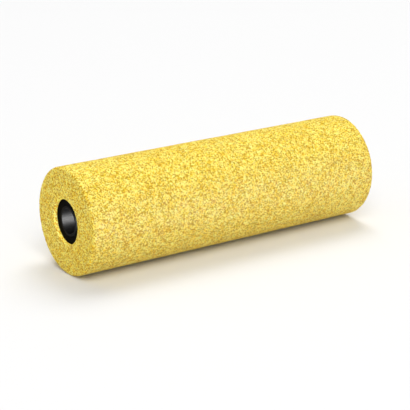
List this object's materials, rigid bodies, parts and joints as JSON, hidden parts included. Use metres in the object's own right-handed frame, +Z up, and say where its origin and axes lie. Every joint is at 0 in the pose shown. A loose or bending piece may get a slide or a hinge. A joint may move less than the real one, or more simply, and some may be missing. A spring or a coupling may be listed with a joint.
{
  "type": "paint roller cover",
  "caption": "Straight foam mini roller cover on a plastic core, with bushed ends and an inner sleeve that takes a roller frame's wire.",
  "frame": {"origin": "centre of the roller, on its axis and midway between its two foam end faces", "axes": "+X along the roller's axis, from the near end to the far end; +Z up with the roller lying on its side; +Y across"},
  "size_m": [0.11, 0.0344, 0.0344],
  "materials": {
    "foam": "open-cell polyurethane foam, cut and buffed, mottled yellow",
    "glue": "set hot-melt adhesive, cloudy amber",
    "core_plastic": "extruded black polypropylene",
    "bush_plastic": "moulded black polypropylene, fine satin",
    "sleeve_plastic": "moulded black polypropylene, satin"
  },
  "bodies": {
    "axle": {"axle_sleeve": "sleeve_plastic"},
    "cover": {"foam_cover": "foam", "glue_film": "glue", "core_tube": "core_plastic", "near_end_bush": "bush_plastic", "far_end_bush": "bush_plastic"}
  },
  "joints": [
    {"name": "cover_spin", "type": "hinge", "parent": "axle", "child": "cover", "pos_m": [0, 0, 0], "axis": [1, 0, 0], "continuous": true}
  ]
}
